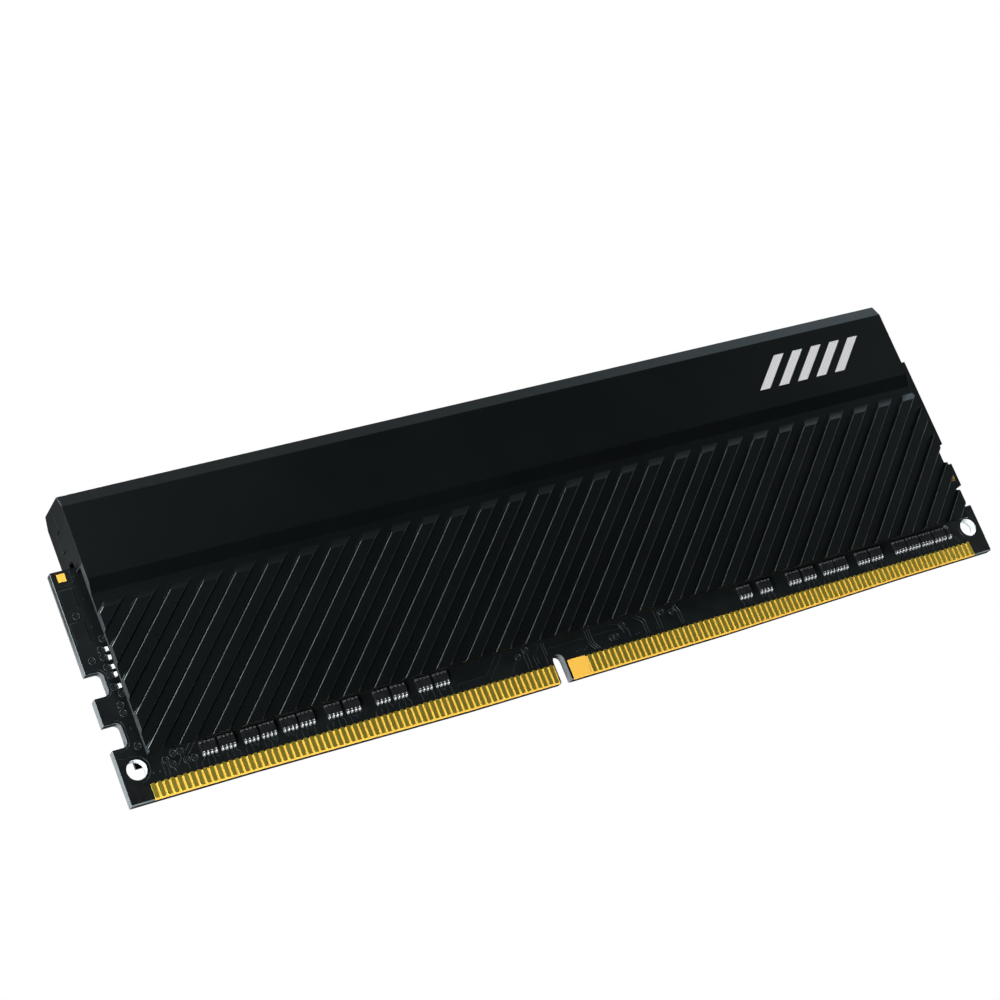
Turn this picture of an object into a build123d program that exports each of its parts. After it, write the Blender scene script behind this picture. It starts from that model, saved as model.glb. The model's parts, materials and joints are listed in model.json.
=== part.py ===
from build123d import *
import os

# RAM module with a two-part finned heat spreader.
#
# Frame: millimetres, X along the module, Y through its thickness (front face towards -Y),
# Z up from the lowest point of the connector edge.

# ---- circuit board ----
BOARD_LENGTH = 133.35
BOARD_HEIGHT = 31.25
BOARD_THICKNESS = 1.40
BOARD_FACE = BOARD_THICKNESS / 2
BOARD_END = BOARD_LENGTH / 2

# The connector edge bows down towards the middle: (distance from the middle, height).
BOW = [(20.0, 0.0), (50.0, 0.50), (BOARD_END, 0.60)]
EDGE_BEVEL = 0.15

HOLE_X = 64.60
HOLE_Z = 4.75
HOLE_RADIUS = 1.30

NOTCH_DEPTH = 2.10
NOTCH_HEIGHT = 3.20
NOTCH_CENTRES = [9.40, 16.10]
NOTCH_CORNER = 0.75

KEY_SLOT_X = -5.76
KEY_SLOT_WIDTH = 1.65
KEY_SLOT_TOP = 3.80

MASK = 0.03
MASK_LOWER_EDGE = 2.80
MASK_FACE = BOARD_FACE + MASK

# ---- connector contacts ----
PITCH = 0.85
CONTACT_WIDTH = 0.62
CONTACT_TOP = 2.70
CONTACT_THICKNESS = 0.05
CONTACT_EDGE_GAP = 0.18
FIRST_CONTACT = BOARD_END - 3.35
SHORT_COUNT = 67
LONG_COUNT = 77
KEY_PAD = (-4.62, -1.88)
TEST_PAD_SIZE = 1.06
TEST_PADS = [(-65.46, 30.34), (65.57, 12.40)]

# ---- heat spreader ----
SPREADER_END = 63.50
SPREADER_BOTTOM = 5.65
SPREADER_TOP = 39.80
RIDGE_Y = 3.20
BAND_Y = 4.05
BASE_Y = 3.32
INNER_Y = 2.80
CHAMFER_BOTTOM = 38.15
BAND_BOTTOM = 28.35
STEP_BOTTOM = 26.70
CAVITY_TOP = 38.60
CAP_THICKNESS = 1.20
CAP_BOTTOM = 30.40
CAP_CLEARANCE = 0.15
CAP_SLOT_TOP = 32.05
SEAM_GAP = 0.06
TONGUE_Y = 1.30
TONGUE = (33.80, 36.45)

RIB_PITCH = 4.412
RIB_COUNT = 33
RIB_WIDTH = 1.93
RIB_DRAFT = 0.16
RIB_EDGE = 0.10
RIB_FIRST_X = -62.77
RIB_FACET_BOTTOM = 24.46
RIB_FACET_TOP = 25.60

# ---- chips and small components ----
CHIP_X = [-52.5, -39.5, -26.5, -13.5, 13.5, 26.5, 39.5, 52.5]
CHIP_Z = 19.0
CHIP_SIZE = (8.0, 12.0)
CHIP_HEIGHT = 1.10
THERMAL_PAD_SIZE = (117.0, 14.0)

ARRAY_SIZE = (2.00, 1.00)
ARRAY_HEIGHT = 0.45
ARRAY_PITCH = 0.54
TERMINAL_REACH = 0.28
LEFT_ARRAY_Z = 5.05
LEFT_ARRAYS = [-55.2, -52.7, -49.6, -47.2, -44.3, -41.9, -38.1, -35.5, -31.3, -28.8, -25.2, -22.7]
RIGHT_ARRAY_Z = 4.85
RIGHT_ARRAYS = [24.9, 28.3, 33.2, 35.8, 39.1, 41.4, 45.2, 47.6, 51.9, 54.3, 56.7, 59.1]
BACK_ARRAYS = [sign * (10.0 + 6.4 * pair + 1.25 * side)
               for sign in (-1, 1) for pair in range(8) for side in (-1, 1)]

# Two-terminal components: body (length, width) and terminal (length, width).
SMALL_BODY = (1.00, 0.50)
SMALL_TERMINAL = (0.28, 0.60)
SMALL_HEIGHT = 0.35
COLUMN_BODY = (0.80, 0.56)
COLUMN_TERMINAL = (0.42, 0.60)
COLUMN_LEFT = -63.38
COLUMN_Z = [15.25, 16.79, 17.79, 19.01, 20.13]
CORNER_RESISTOR = (60.85, 4.85)
CAPACITOR_Z = [14.5, 17.5, 20.5, 23.5]

IDENTITY_CHIP_SIZE = (3.00, 2.00)
IDENTITY_CHIP_HEIGHT = 0.75
IDENTITY_CHIP_Z = 9.50

# ---- emblem: plain slanted bars ----
BAR_COUNT = 5
BAR_FIRST_X = 38.6
BAR_PITCH = 3.3
BAR_WIDTH = 1.7
BAR_Z = (31.2, 35.8)
BAR_THICKNESS = 0.03


def save(part, name):
    part.label = name
    export_step(part, f"parts/{name}.step")
    print(f"{name:34s} solids {len(part.solids()):4d} volume {part.volume:10.3f} valid {part.is_valid}")


def face_plane(side, distance):
    """Plane facing away from the board, on the front (side -1) or the back (side +1).

    Local X runs along the module's +X on the front and along -X on the back; local Y is up.
    """
    return Plane(origin=(0, side * distance, 0), x_dir=(-side, 0, 0), z_dir=(0, side, 0))


def slot_outline():
    """Key slot: straight sides with a round top, open at the connector edge."""
    radius = KEY_SLOT_WIDTH / 2
    with Locations((KEY_SLOT_X, (KEY_SLOT_TOP - radius) / 2 - 1)):
        Rectangle(KEY_SLOT_WIDTH, KEY_SLOT_TOP - radius + 2, mode=Mode.SUBTRACT)
    with Locations((KEY_SLOT_X, KEY_SLOT_TOP - radius)):
        Circle(radius, mode=Mode.SUBTRACT)


def notch_outlines():
    """Two notches at each end, with round inner corners."""
    with BuildSketch(Plane.XY, mode=Mode.PRIVATE) as notch:
        Rectangle(2 * NOTCH_DEPTH, NOTCH_HEIGHT)
        fillet(notch.vertices(), NOTCH_CORNER)
    for end in (-BOARD_END, BOARD_END):
        for z in NOTCH_CENTRES:
            with Locations((end, z)):
                add(notch.sketch, mode=Mode.SUBTRACT)


def board_outline(lower_edge=None):
    """Board outline seen from the front, down to the connector edge or to lower_edge."""
    if lower_edge is None:
        points = [(-x, z) for x, z in reversed(BOW)] + BOW
    else:
        points = [(-BOARD_END, lower_edge), (BOARD_END, lower_edge)]
    Polygon(*points, (BOARD_END, BOARD_HEIGHT), (-BOARD_END, BOARD_HEIGHT), align=None)
    notch_outlines()
    slot_outline()
    with Locations((-HOLE_X, HOLE_Z), (HOLE_X, HOLE_Z)):
        Circle(HOLE_RADIUS, mode=Mode.SUBTRACT)


def circuit_board():
    with BuildPart() as board:
        with BuildSketch(Plane.XZ):
            board_outline()
        extrude(amount=BOARD_FACE, both=True)
        lower = [e for e in board.edges().filter_by(GeomType.LINE)
                 if e.center().Z < BOW[-1][1] + 0.01 and abs(abs(e.center().Y) - BOARD_FACE) < 0.01
                 and abs(e.center().X) < BOARD_END - 0.01 and e.length > 2]
        chamfer(lower, EDGE_BEVEL)
    return board.part


def solder_mask(side):
    with BuildPart() as mask:
        with BuildSketch(Plane.XZ.offset(-side * BOARD_FACE)):
            board_outline(MASK_LOWER_EDGE)
        extrude(amount=-side * MASK)
    return mask.part


def contact_row(first, count, step):
    """Row of contacts with rounded upper ends, cut off just above the board's lower edge."""
    places = [first + step * index for index in range(count)]
    crown = CONTACT_WIDTH / 4
    shoulder = CONTACT_TOP - crown
    with Locations(*[(x, shoulder / 2) for x in places]):
        Rectangle(CONTACT_WIDTH, shoulder)
    with Locations(*[(x, shoulder) for x in places]):
        Ellipse(CONTACT_WIDTH / 2, crown)
    lower_edge = [(-x, z + CONTACT_EDGE_GAP) for x, z in reversed(BOW)]
    lower_edge += [(x, z + CONTACT_EDGE_GAP) for x, z in BOW]
    Polygon(*lower_edge, (BOARD_END, -1), (-BOARD_END, -1), align=None, mode=Mode.SUBTRACT)


def contacts(side, first, count, step):
    with BuildPart() as group:
        with BuildSketch(Plane.XZ.offset(-side * BOARD_FACE)):
            contact_row(first, count, step)
        extrude(amount=-side * CONTACT_THICKNESS)
    return group.part


def key_side_pad():
    left, right = KEY_PAD
    with BuildPart() as pad:
        with BuildSketch(Plane.XZ.offset(BOARD_FACE)):
            with Locations(((left + right) / 2, (CONTACT_TOP + CONTACT_EDGE_GAP) / 2)):
                Rectangle(right - left, CONTACT_TOP - CONTACT_EDGE_GAP)
        extrude(amount=CONTACT_THICKNESS)
    return pad.part


def test_pads():
    with BuildPart() as pads:
        with BuildSketch(Plane.XZ.offset(MASK_FACE)):
            with Locations(*TEST_PADS):
                RectangleRounded(TEST_PAD_SIZE, TEST_PAD_SIZE, 0.1)
        extrude(amount=0.02)
    return pads.part


# ---- chips, thermal pads and small components ----
def memory_chip(x, side):
    """Moulded package with a shallow edge chamfer on its outer face."""
    with BuildPart() as chip:
        with BuildSketch(face_plane(side, MASK_FACE)):
            with Locations((-side * x, CHIP_Z)):
                Rectangle(*CHIP_SIZE)
        extrude(amount=CHIP_HEIGHT)
        outer = chip.faces().sort_by(Axis.Y)[0 if side < 0 else -1]
        chamfer(outer.edges(), 0.12)
    return chip.part


def thermal_pad(side):
    start = MASK_FACE + CHIP_HEIGHT
    with BuildPart() as pad:
        with BuildSketch(face_plane(side, start)):
            with Locations((0, CHIP_Z)):
                RectangleRounded(*THERMAL_PAD_SIZE, 1.0)
        extrude(amount=INNER_Y - start)
    return pad.part


def identity_chip():
    with BuildPart() as chip:
        with BuildSketch(face_plane(1, MASK_FACE)):
            with Locations((0, IDENTITY_CHIP_Z)):
                Rectangle(*IDENTITY_CHIP_SIZE)
        extrude(amount=IDENTITY_CHIP_HEIGHT)
        chamfer(chip.faces().sort_by(Axis.Y)[-1].edges(), 0.08)
    return chip.part


def block_grid(side, places, size, height):
    """Plain rectangular bodies standing on the mask at the given places."""
    with BuildPart() as blocks:
        with BuildSketch(face_plane(side, MASK_FACE)):
            with Locations(*[(-side * x, z) for x, z in places]):
                Rectangle(*size)
        extrude(amount=height)
    return blocks.part


def array_terminal_places(places):
    """Eight terminals round each array: four above its body and four below it."""
    shift = (ARRAY_SIZE[1] + TERMINAL_REACH) / 2
    return [(x + ARRAY_PITCH * (column - 1.5), z + row * shift)
            for x, z in places for column in range(4) for row in (-1, 1)]


def upright_terminal_places(places):
    """One terminal above and one below each upright two-terminal component."""
    shift = (SMALL_BODY[0] + SMALL_TERMINAL[0]) / 2
    return [(x, z + end * shift) for x, z in places for end in (-1, 1)]


def end_column():
    """Body and terminal places of the column of components at the board's left end."""
    middle = COLUMN_LEFT + COLUMN_TERMINAL[0] + COLUMN_BODY[0] / 2
    shift = (COLUMN_BODY[0] + COLUMN_TERMINAL[0]) / 2
    bodies = [(middle, z) for z in COLUMN_Z]
    return bodies, [(middle + end * shift, z) for z in COLUMN_Z for end in (-1, 1)]


# ---- heat spreader ----
def shell_section():
    """Cross-section of one half between the end caps: wall, step, band, chamfer and half the top."""
    Polygon(
        (-INNER_Y, SPREADER_BOTTOM),
        (-BASE_Y, SPREADER_BOTTOM),
        (-BASE_Y, STEP_BOTTOM),
        (-BAND_Y, BAND_BOTTOM),
        (-BAND_Y, CHAMFER_BOTTOM),
        (-RIDGE_Y, SPREADER_TOP),
        (-SEAM_GAP, SPREADER_TOP),
        (-SEAM_GAP, CAVITY_TOP),
        (-INNER_Y, CAVITY_TOP),
        align=None,
    )


def cap_section(with_tongue):
    """End cap of one half, with a tongue or the pocket that takes it, clear of the board's edge."""
    board_side = BOARD_FACE + CAP_CLEARANCE
    meet = TONGUE_Y if with_tongue else -TONGUE_Y
    low, high = TONGUE
    gap = SEAM_GAP if with_tongue else -SEAM_GAP
    Polygon(
        (-INNER_Y, CAVITY_TOP),
        (-INNER_Y, CAP_BOTTOM),
        (-board_side, CAP_BOTTOM),
        (-board_side, CAP_SLOT_TOP),
        (-SEAM_GAP, CAP_SLOT_TOP),
        (-SEAM_GAP, low + gap),
        (meet - SEAM_GAP, low + gap),
        (meet - SEAM_GAP, high - gap),
        (-SEAM_GAP, high - gap),
        (-SEAM_GAP, CAVITY_TOP),
        align=None,
    )


def rib_section():
    """Cross-section of one rib, square to its length: drafted sides and small edge chamfers."""
    foot = BASE_Y - 0.1
    half_top = RIB_WIDTH / 2 * 2 ** -0.5
    slope = RIB_DRAFT / (BAND_Y - BASE_Y)
    half_foot = half_top + RIB_EDGE + slope * (BAND_Y - foot)
    half_edge = half_top + RIB_EDGE
    Polygon(
        (-half_foot, foot),
        (half_foot, foot),
        (half_edge, BAND_Y - RIB_EDGE),
        (half_top, BAND_Y),
        (-half_top, BAND_Y),
        (-half_edge, BAND_Y - RIB_EDGE),
        align=None,
    )


def rib_envelope():
    """Side view of the space that ribs may fill: above the bottom edge and below the facets."""
    rise = (RIB_FACET_TOP - RIB_FACET_BOTTOM) / (BAND_Y - BASE_Y)
    foot = BASE_Y - 0.05
    Polygon(
        (-foot, SPREADER_BOTTOM),
        (-BAND_Y, SPREADER_BOTTOM),
        (-BAND_Y, RIB_FACET_BOTTOM),
        (-foot, RIB_FACET_BOTTOM + rise * (BAND_Y - foot)),
        align=None,
    )


def ribs():
    """Slanted ribs of the front half, cut to the envelope."""
    along = Vector(1, 0, 1).normalized()
    across = Vector(-1, 0, 1).normalized()
    reach = 45.0
    middle_z = (SPREADER_BOTTOM + RIB_FACET_BOTTOM) / 2
    with BuildPart() as fins:
        for index in range(RIB_COUNT):
            top_x = RIB_FIRST_X + RIB_WIDTH / 2 + RIB_PITCH * index
            middle_x = top_x - (RIB_FACET_BOTTOM - middle_z)
            start = Vector(middle_x, 0, middle_z) - along * (reach / 2)
            with BuildSketch(Plane(origin=start, x_dir=across, z_dir=along)):
                rib_section()
            extrude(amount=reach)
        with BuildSketch(Plane.YZ.offset(-SPREADER_END)):
            rib_envelope()
        extrude(amount=2 * SPREADER_END, mode=Mode.INTERSECT)
    return fins.part


def spreader_half(with_tongue):
    """Front half of the heat spreader."""
    with BuildPart() as half:
        with BuildSketch(Plane.YZ.offset(-SPREADER_END)):
            shell_section()
        extrude(amount=2 * SPREADER_END)
        for start in (-SPREADER_END, SPREADER_END - CAP_THICKNESS):
            with BuildSketch(Plane.YZ.offset(start)):
                cap_section(with_tongue)
            extrude(amount=CAP_THICKNESS)
        add(ribs())
    return half.part


def stripe_emblem():
    """Plain slanted bars on the flat band, near its right end."""
    low, high = BAR_Z
    lean = high - low
    with BuildPart() as bars:
        with BuildSketch(Plane.XZ.offset(BAND_Y)):
            for index in range(BAR_COUNT):
                left = BAR_FIRST_X + BAR_PITCH * index
                right = left + BAR_WIDTH
                Polygon((left, low), (right, low), (right + lean, high), (left + lean, high), align=None)
        extrude(amount=BAR_THICKNESS)
    return bars.part


def main():
    os.makedirs("parts", exist_ok=True)
    save(circuit_board(), "circuit_board")
    save(solder_mask(-1), "solder_mask_front")
    save(solder_mask(1), "solder_mask_back")

    for side, word in ((-1, "front"), (1, "back")):
        save(contacts(side, -FIRST_CONTACT, SHORT_COUNT, PITCH), f"contacts_{word}_short_group")
        save(contacts(side, FIRST_CONTACT, LONG_COUNT, -PITCH), f"contacts_{word}_long_group")
    save(key_side_pad(), "key_side_pad")
    save(test_pads(), "test_pads")

    for side, word in ((-1, "front"), (1, "back")):
        for number, x in enumerate(CHIP_X, start=1):
            save(memory_chip(x, side), f"memory_chip_{word}_{number}")
        save(thermal_pad(side), f"thermal_pad_{word}")
    save(identity_chip(), "identity_chip")

    front_arrays = [(x, LEFT_ARRAY_Z) for x in LEFT_ARRAYS] + [(x, RIGHT_ARRAY_Z) for x in RIGHT_ARRAYS]
    back_arrays = [(x, RIGHT_ARRAY_Z) for x in BACK_ARRAYS]
    terminal = (ARRAY_PITCH * 0.65, TERMINAL_REACH)
    for side, word, places in ((-1, "front", front_arrays), (1, "back", back_arrays)):
        save(block_grid(side, places, ARRAY_SIZE, ARRAY_HEIGHT), f"resistor_arrays_{word}")
        save(block_grid(side, array_terminal_places(places), terminal, ARRAY_HEIGHT - 0.08),
             f"resistor_array_terminals_{word}")

    column, column_terminals = end_column()
    save(block_grid(-1, column, COLUMN_BODY, SMALL_HEIGHT), "end_resistors")
    save(block_grid(-1, column_terminals, COLUMN_TERMINAL, SMALL_HEIGHT), "end_resistor_terminals")

    upright_body = (SMALL_BODY[1], SMALL_BODY[0])
    upright_terminal = (SMALL_TERMINAL[1], SMALL_TERMINAL[0])
    corner = [CORNER_RESISTOR]
    save(block_grid(-1, corner, upright_body, SMALL_HEIGHT), "corner_resistor")
    save(block_grid(-1, upright_terminal_places(corner), upright_terminal, SMALL_HEIGHT),
         "corner_resistor_terminals")

    gaps = [(left + right) / 2 for left, right in zip(CHIP_X, CHIP_X[1:]) if left * right > 0]
    capacitors = [(x, z) for x in gaps for z in CAPACITOR_Z]
    for side, word in ((-1, "front"), (1, "back")):
        save(block_grid(side, capacitors, upright_body, SMALL_HEIGHT), f"capacitors_{word}")
        save(block_grid(side, upright_terminal_places(capacitors), upright_terminal, SMALL_HEIGHT),
             f"capacitor_terminals_{word}")

    save(spreader_half(True), "heat_spreader_front")
    save(spreader_half(False).rotate(Axis.Z, 180), "heat_spreader_back")
    save(stripe_emblem(), "stripe_emblem_front")
    save(stripe_emblem().rotate(Axis.Z, 180), "stripe_emblem_back")


main()
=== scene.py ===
import json
import math
import bpy
from mathutils import Matrix, Vector


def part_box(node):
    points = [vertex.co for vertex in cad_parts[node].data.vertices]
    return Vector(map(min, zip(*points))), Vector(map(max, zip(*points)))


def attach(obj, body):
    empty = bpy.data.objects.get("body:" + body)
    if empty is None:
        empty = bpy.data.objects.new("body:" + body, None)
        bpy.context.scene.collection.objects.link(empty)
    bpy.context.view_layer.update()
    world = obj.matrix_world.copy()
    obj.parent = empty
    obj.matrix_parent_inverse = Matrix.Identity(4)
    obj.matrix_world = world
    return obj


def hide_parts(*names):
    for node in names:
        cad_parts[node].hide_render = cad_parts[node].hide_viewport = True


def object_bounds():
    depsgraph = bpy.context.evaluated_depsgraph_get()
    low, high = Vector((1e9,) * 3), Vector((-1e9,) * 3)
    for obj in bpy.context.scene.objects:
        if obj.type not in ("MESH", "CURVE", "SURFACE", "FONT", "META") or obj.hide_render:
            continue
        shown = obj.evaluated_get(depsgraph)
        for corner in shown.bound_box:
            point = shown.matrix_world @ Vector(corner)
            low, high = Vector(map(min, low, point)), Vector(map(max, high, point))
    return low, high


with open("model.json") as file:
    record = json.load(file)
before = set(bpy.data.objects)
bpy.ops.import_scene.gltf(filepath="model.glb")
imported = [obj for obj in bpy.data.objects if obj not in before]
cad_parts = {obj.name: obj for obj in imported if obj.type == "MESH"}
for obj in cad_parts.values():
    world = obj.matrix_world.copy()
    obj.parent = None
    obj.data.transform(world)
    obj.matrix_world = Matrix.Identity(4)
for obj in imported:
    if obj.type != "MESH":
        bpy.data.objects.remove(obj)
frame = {"nodes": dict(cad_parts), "record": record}
cad_low, cad_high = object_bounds()
nodes = frame["nodes"]

MM = 0.001

# ---- places taken from the frame, in millimetres ----
board_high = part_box("circuit_board")[1] / MM
mask_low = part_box("solder_mask_front")[0] / MM
short_low, short_high = [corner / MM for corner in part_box("contacts_front_short_group")]
long_low, long_high = [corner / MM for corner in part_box("contacts_front_long_group")]
key_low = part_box("key_side_pad")[0] / MM

BOARD_END = board_high.x     # half the board's length
BOARD_FACE = board_high.y    # half its thickness
MASK_FACE = -mask_low.y      # outer face of the solder mask

# ---- camera: where it stands and how it is turned, in the object's frame ----
CAMERA_PLACE = (-0.158497, -0.280389, -0.056733)    # metres
CAMERA_LOOK = (0.4661, 0.8483, 0.2513)
CAMERA_RIGHT = (0.8571, -0.3625, -0.3661)
CAMERA_LENS = 89.27                                 # mm, with a sensor 36 mm wide


def make_camera():
    """Camera to the left of the object's front and a little below it."""
    data = bpy.data.cameras.new("camera")
    data.lens = CAMERA_LENS
    data.sensor_width = 36.0
    data.clip_start = 0.01
    data.clip_end = 20.0
    camera = bpy.data.objects.new("camera", data)
    bpy.context.scene.collection.objects.link(camera)
    look = Vector(CAMERA_LOOK).normalized()
    right = Vector(CAMERA_RIGHT)
    right = (right - look * right.dot(look)).normalized()
    up = right.cross(look)
    turn = Matrix((right, up, -look)).transposed().to_4x4()
    camera.matrix_world = Matrix.Translation(CAMERA_PLACE) @ turn
    bpy.context.scene.camera = camera


# ---- shader helpers ----
def new_material(name):
    material = bpy.data.materials.new(name)
    material.use_nodes = True
    tree = material.node_tree
    tree.nodes.clear()
    output = tree.nodes.new("ShaderNodeOutputMaterial")
    shader = tree.nodes.new("ShaderNodeBsdfPrincipled")
    tree.links.new(shader.outputs["BSDF"], output.inputs["Surface"])
    return material, tree, shader


def noise(tree, scale_mm, detail=2.0, stretch=(1, 1, 1)):
    """Noise in object space whose features are about scale_mm across."""
    place = tree.nodes.new("ShaderNodeTexCoord")
    mapping = tree.nodes.new("ShaderNodeMapping")
    mapping.inputs["Scale"].default_value = stretch
    texture = tree.nodes.new("ShaderNodeTexNoise")
    texture.inputs["Scale"].default_value = 1.0 / (scale_mm * MM)
    texture.inputs["Detail"].default_value = detail
    tree.links.new(place.outputs["Object"], mapping.inputs["Vector"])
    tree.links.new(mapping.outputs["Vector"], texture.inputs["Vector"])
    return texture.outputs["Fac"]


def ramp(tree, value, low, high, low_color, high_color):
    """Colour that goes from low_color to high_color as value goes from low to high."""
    node = tree.nodes.new("ShaderNodeValToRGB")
    node.color_ramp.elements[0].position = low
    node.color_ramp.elements[1].position = high
    node.color_ramp.elements[0].color = (*low_color, 1)
    node.color_ramp.elements[1].color = (*high_color, 1)
    tree.links.new(value, node.inputs["Fac"])
    return node.outputs["Color"]


def span(tree, value, start, end, low=0.0, high=1.0):
    """Number that goes from low to high as value goes from start to end."""
    node = tree.nodes.new("ShaderNodeMapRange")
    node.inputs["From Min"].default_value = start
    node.inputs["From Max"].default_value = end
    node.inputs["To Min"].default_value = low
    node.inputs["To Max"].default_value = high
    tree.links.new(value, node.inputs["Value"])
    return node.outputs["Result"]


def mottled(tree, value, color, other):
    """Colour between two tones that follows a noise value."""
    return ramp(tree, value, 0.35, 0.65, color, other)


def uneven(tree, value, low, high):
    """Roughness between low and high that follows a noise value."""
    return span(tree, value, 0.3, 0.7, low, high)


def math_node(tree, operation, value, other=None):
    """Result of one operation on a linked value and, if given, a number or a second linked value."""
    node = tree.nodes.new("ShaderNodeMath")
    node.operation = operation
    tree.links.new(value, node.inputs[0])
    if isinstance(other, (int, float)):
        node.inputs[1].default_value = other
    elif other is not None:
        tree.links.new(other, node.inputs[1])
    return node.outputs["Value"]


def mixed(tree, factor, color, other):
    """color where factor is 0, the plain colour other where it is 1."""
    mix = tree.nodes.new("ShaderNodeMix")
    mix.data_type = "RGBA"
    mix.inputs[7].default_value = (*other, 1)
    tree.links.new(factor, mix.inputs[0])
    tree.links.new(color, mix.inputs[6])
    return mix.outputs[2]


def object_axis(tree, axis):
    """Coordinate along one axis in object space, in metres."""
    place = tree.nodes.new("ShaderNodeTexCoord")
    split = tree.nodes.new("ShaderNodeSeparateXYZ")
    tree.links.new(place.outputs["Object"], split.inputs["Vector"])
    return split.outputs[axis]


def facing(tree, axis):
    """How squarely a face looks along an axis, either way: 0 to 1."""
    geometry = tree.nodes.new("ShaderNodeNewGeometry")
    split = tree.nodes.new("ShaderNodeSeparateXYZ")
    tree.links.new(geometry.outputs["True Normal"], split.inputs["Vector"])
    return math_node(tree, "ABSOLUTE", split.outputs[axis])


def square_to(tree, axis):
    """1 on faces square to an axis, 0 on all others."""
    return math_node(tree, "GREATER_THAN", facing(tree, axis), 0.95)


def bump(tree, shader, height, strength, distance_mm=0.01):
    node = tree.nodes.new("ShaderNodeBump")
    node.inputs["Strength"].default_value = strength
    node.inputs["Distance"].default_value = distance_mm * MM
    tree.links.new(height, node.inputs["Height"])
    tree.links.new(node.outputs["Normal"], shader.inputs["Normal"])


def finish(name, color, other, mottle_mm, roughness, grain_mm, grain,
           metallic=0.0, specular=0.5, tint=(1, 1, 1)):
    """Common build-up: mottled colour, uneven roughness and a fine bump of strength grain."""
    material, tree, shader = new_material(name)
    mottle = noise(tree, mottle_mm, 3.0)
    tree.links.new(mottled(tree, mottle, color, other), shader.inputs["Base Color"])
    tree.links.new(uneven(tree, mottle, *roughness), shader.inputs["Roughness"])
    shader.inputs["Metallic"].default_value = metallic
    shader.inputs["IOR"].default_value = 1.5
    shader.inputs["Specular IOR Level"].default_value = specular
    shader.inputs["Specular Tint"].default_value = (*tint, 1)
    bump(tree, shader, noise(tree, grain_mm), grain)
    return material


# ---- materials ----
BLUE_BLACK = (0.80, 1.0, 1.07)              # tint of the reflections on black surfaces
BLACK_METAL = (0.0006, 0.0008, 0.0009)
BLACK_METAL_WORN = (0.0008, 0.0010, 0.0011)
# painted light: lighter tone for the spreader's end faces below the end caps
PAINTED_LIGHT_END_TONE = (0.028, 0.033, 0.036)
PAINTED_LIGHT_TOP = 30.6                              # end faces below this height get painted light, mm
TIN_FACE = (0.92, 0.94, 0.96)
# painted shade: dark tones for the end terminals' other faces
SHADED_TIN_SIDE = (0.050, 0.055, 0.060)
SHADED_TIN_SIDE_PALE = (0.075, 0.082, 0.088)
CORE = (0.010, 0.012, 0.012)
CORE_LIGHT = (0.022, 0.026, 0.027)
EDGE_HIGHLIGHT_TONE = (0.17, 0.20, 0.21)              # painted highlight line at each face of a cut edge
EDGE_HIGHLIGHT_DEPTH = 0.20                           # how deep that line goes, mm
EDGE_HIGHLIGHT_FADE = 0.06
# painted light: pale tone for sideways cut edges low on the board
PAINTED_LIGHT_EDGE = (0.150, 0.170, 0.180)
PAINTED_LIGHT_LOW = 16.0                           # cut edges get the palest painted light below this height, mm
PAINTED_LIGHT_HIGH = 24.0                          # and dark above this one
BOARD_BLACK = (0.0030, 0.0035, 0.0038)


def make_materials():
    """Materials by name. After two colours come the mottle's size in mm, the roughness, and the grain's
    size in mm and strength.
    """
    made = {}
    made["spreader"] = anodised()
    made["mask"] = finish("solder_mask_black", (0.0048, 0.0060, 0.0064), (0.0062, 0.0075, 0.0080),
                          2.5, (0.30, 0.36), 0.20, 0.06, tint=BLUE_BLACK)
    made["relief"] = finish("mask_over_copper", (0.007, 0.0085, 0.009), (0.010, 0.012, 0.0125),
                            0.6, (0.42, 0.50), 0.15, 0.05, specular=0.28, tint=BLUE_BLACK)
    made["pad_gold"] = finish("contact_gold", (0.95, 0.79, 0.115), (0.88, 0.73, 0.105),
                              1.6, (0.34, 0.40), 0.12, 0.03, metallic=0.93)
    made["base_gold"] = finish("matt_gold", (1.0, 0.58, 0.080), (0.97, 0.55, 0.074),
                               0.5, (0.45, 0.55), 0.05, 0.15)
    made["tin"] = finish("tin_terminal", (0.94, 0.95, 0.97), (0.86, 0.87, 0.90),
                         0.4, (0.30, 0.45), 0.08, 0.2)
    # painted shade: a darker copy of the tin, for the fillets and the upper drops
    made["solder"] = finish("solder", (0.34, 0.37, 0.39), (0.24, 0.26, 0.28),
                            0.4, (0.30, 0.42), 0.08, 0.2)
    # painted shade: the array and corner resistor terminals get a dark tin
    made["array_tin"] = finish("array_terminal", (0.055, 0.060, 0.064), (0.075, 0.082, 0.088),
                               0.4, (0.30, 0.42), 0.08, 0.2)
    made["end_tin"] = faced_tin()
    made["chip"] = finish("moulded_epoxy", (0.010, 0.010, 0.011), (0.014, 0.014, 0.015),
                          1.0, (0.45, 0.60), 0.08, 0.4)
    made["resistor"] = finish("resistor_glaze", (0.009, 0.010, 0.0105), (0.013, 0.0145, 0.015),
                              0.5, (0.30, 0.40), 0.10, 0.1)
    made["drilled"] = finish("drilled_glass_fibre", (0.72, 0.76, 0.78), (0.62, 0.66, 0.68),
                             0.3, (0.45, 0.60), 0.08, 0.3)
    made["ceramic"] = finish("sintered_ceramic", (0.30, 0.19, 0.10), (0.38, 0.25, 0.14),
                             0.3, (0.40, 0.55), 0.06, 0.3)
    made["thermal_pad"] = finish("silicone_sheet", (0.30, 0.33, 0.36), (0.36, 0.39, 0.42),
                                 1.5, (0.65, 0.80), 0.25, 0.5)
    made["emblem"] = dotted("silver_print", (0.78, 0.78, 0.79), (0.34, 0.34, 0.35), 0.42)
    made["laminate"] = laminate()
    return made


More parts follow.
